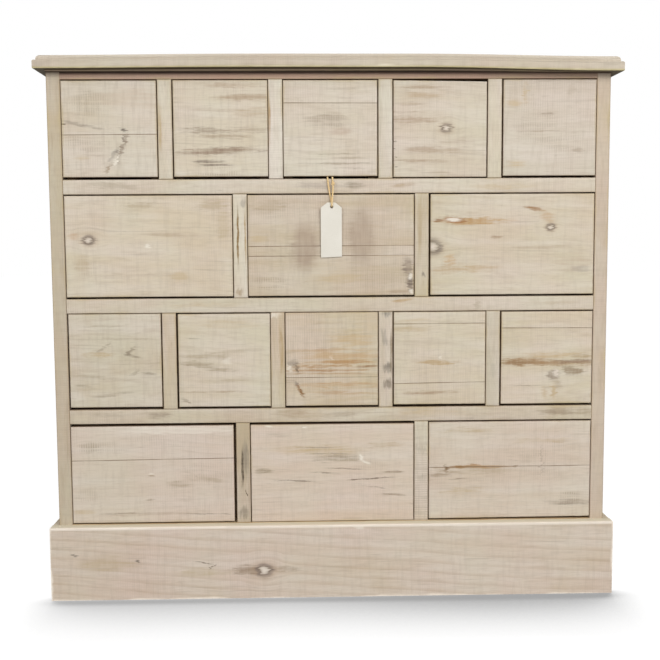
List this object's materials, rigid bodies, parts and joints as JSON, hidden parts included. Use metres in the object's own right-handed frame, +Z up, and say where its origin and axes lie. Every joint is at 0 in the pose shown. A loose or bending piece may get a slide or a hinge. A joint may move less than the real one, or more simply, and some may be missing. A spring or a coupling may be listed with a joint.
{
  "type": "seed storage cabinet",
  "caption": "Low wide pine chest with rows of small and large inset drawers in a flush frame, on a plinth, under a top with a moulded edge; a paper swing tag hangs from one drawer.",
  "frame": {"origin": "on the floor, at the middle of the cabinet's outline in plan", "axes": "+Z up, drawer fronts face -Y, +X to the right of a viewer who faces the drawers"},
  "size_m": [0.882, 0.369, 0.829],
  "materials": {
    "limed_pine": "satin",
    "raw_pine": "matt",
    "steel": "dull",
    "paper": "matt",
    "twine": "matt"
  },
  "bodies": {
    "carcass": {"side_panel_left": "limed_pine", "side_panel_right": "limed_pine", "top_board": "limed_pine", "top_lath": "limed_pine", "top_rail": "limed_pine", "rail_1": "limed_pine", "rail_2": "limed_pine", "rail_3": "limed_pine", "shelf_1": "raw_pine", "shelf_2": "raw_pine", "shelf_3": "raw_pine", "bottom_board": "raw_pine", "dividers_row_1": "limed_pine", "dividers_row_2": "limed_pine", "dividers_row_3": "limed_pine", "dividers_row_4": "limed_pine", "back_boards": "raw_pine", "back_nails": "steel", "wood_screws": "steel", "plinth_front": "limed_pine", "plinth_side_left": "limed_pine", "plinth_side_right": "limed_pine", "plinth_blocks": "raw_pine", "drawer_stops": "raw_pine"},
    "drawer_1_1": {"drawer_1_1_front": "limed_pine", "drawer_1_1_box": "raw_pine"},
    "drawer_1_2": {"drawer_1_2_front": "limed_pine", "drawer_1_2_box": "raw_pine"},
    "drawer_1_3": {"drawer_1_3_front": "limed_pine", "drawer_1_3_box": "raw_pine", "tag_string_tails": "twine"},
    "drawer_1_4": {"drawer_1_4_front": "limed_pine", "drawer_1_4_box": "raw_pine"},
    "drawer_1_5": {"drawer_1_5_front": "limed_pine", "drawer_1_5_box": "raw_pine"},
    "drawer_2_1": {"drawer_2_1_front": "limed_pine", "drawer_2_1_box": "raw_pine"},
    "drawer_2_2": {"drawer_2_2_front": "limed_pine", "drawer_2_2_box": "raw_pine"},
    "drawer_2_3": {"drawer_2_3_front": "limed_pine", "drawer_2_3_box": "raw_pine"},
    "drawer_3_1": {"drawer_3_1_front": "limed_pine", "drawer_3_1_box": "raw_pine"},
    "drawer_3_2": {"drawer_3_2_front": "limed_pine", "drawer_3_2_box": "raw_pine"},
    "drawer_3_3": {"drawer_3_3_front": "limed_pine", "drawer_3_3_box": "raw_pine"},
    "drawer_3_4": {"drawer_3_4_front": "limed_pine", "drawer_3_4_box": "raw_pine"},
    "drawer_3_5": {"drawer_3_5_front": "limed_pine", "drawer_3_5_box": "raw_pine"},
    "drawer_4_1": {"drawer_4_1_front": "limed_pine", "drawer_4_1_box": "raw_pine"},
    "drawer_4_2": {"drawer_4_2_front": "limed_pine", "drawer_4_2_box": "raw_pine"},
    "drawer_4_3": {"drawer_4_3_front": "limed_pine", "drawer_4_3_box": "raw_pine"},
    "tag": {"tag_string": "twine", "swing_tag": "paper"}
  },
  "joints": [
    {"name": "drawer_1_1_slide", "type": "slide", "parent": "carcass", "child": "drawer_1_1", "axis": [0, -1, 0], "range_m": [0, 0.24]},
    {"name": "drawer_1_2_slide", "type": "slide", "parent": "carcass", "child": "drawer_1_2", "axis": [0, -1, 0], "range_m": [0, 0.24]},
    {"name": "drawer_1_3_slide", "type": "slide", "parent": "carcass", "child": "drawer_1_3", "axis": [0, -1, 0], "range_m": [0, 0.24]},
    {"name": "drawer_1_4_slide", "type": "slide", "parent": "carcass", "child": "drawer_1_4", "axis": [0, -1, 0], "range_m": [0, 0.24]},
    {"name": "drawer_1_5_slide", "type": "slide", "parent": "carcass", "child": "drawer_1_5", "axis": [0, -1, 0], "range_m": [0, 0.24]},
    {"name": "drawer_2_1_slide", "type": "slide", "parent": "carcass", "child": "drawer_2_1", "axis": [0, -1, 0], "range_m": [0, 0.24]},
    {"name": "drawer_2_2_slide", "type": "slide", "parent": "carcass", "child": "drawer_2_2", "axis": [0, -1, 0], "range_m": [0, 0.24]},
    {"name": "drawer_2_3_slide", "type": "slide", "parent": "carcass", "child": "drawer_2_3", "axis": [0, -1, 0], "range_m": [0, 0.24]},
    {"name": "drawer_3_1_slide", "type": "slide", "parent": "carcass", "child": "drawer_3_1", "axis": [0, -1, 0], "range_m": [0, 0.24]},
    {"name": "drawer_3_2_slide", "type": "slide", "parent": "carcass", "child": "drawer_3_2", "axis": [0, -1, 0], "range_m": [0, 0.24]},
    {"name": "drawer_3_3_slide", "type": "slide", "parent": "carcass", "child": "drawer_3_3", "axis": [0, -1, 0], "range_m": [0, 0.24]},
    {"name": "drawer_3_4_slide", "type": "slide", "parent": "carcass", "child": "drawer_3_4", "axis": [0, -1, 0], "range_m": [0, 0.24]},
    {"name": "drawer_3_5_slide", "type": "slide", "parent": "carcass", "child": "drawer_3_5", "axis": [0, -1, 0], "range_m": [0, 0.24]},
    {"name": "drawer_4_1_slide", "type": "slide", "parent": "carcass", "child": "drawer_4_1", "axis": [0, -1, 0], "range_m": [0, 0.24]},
    {"name": "drawer_4_2_slide", "type": "slide", "parent": "carcass", "child": "drawer_4_2", "axis": [0, -1, 0], "range_m": [0, 0.24]},
    {"name": "drawer_4_3_slide", "type": "slide", "parent": "carcass", "child": "drawer_4_3", "axis": [0, -1, 0], "range_m": [0, 0.24]},
    {"name": "tag_swing", "type": "hinge", "parent": "drawer_1_3", "child": "tag", "pos_m": [0, -0.167, 0.64785], "axis": [-1, 0, 0], "range_deg": [0, 90]}
  ]
}
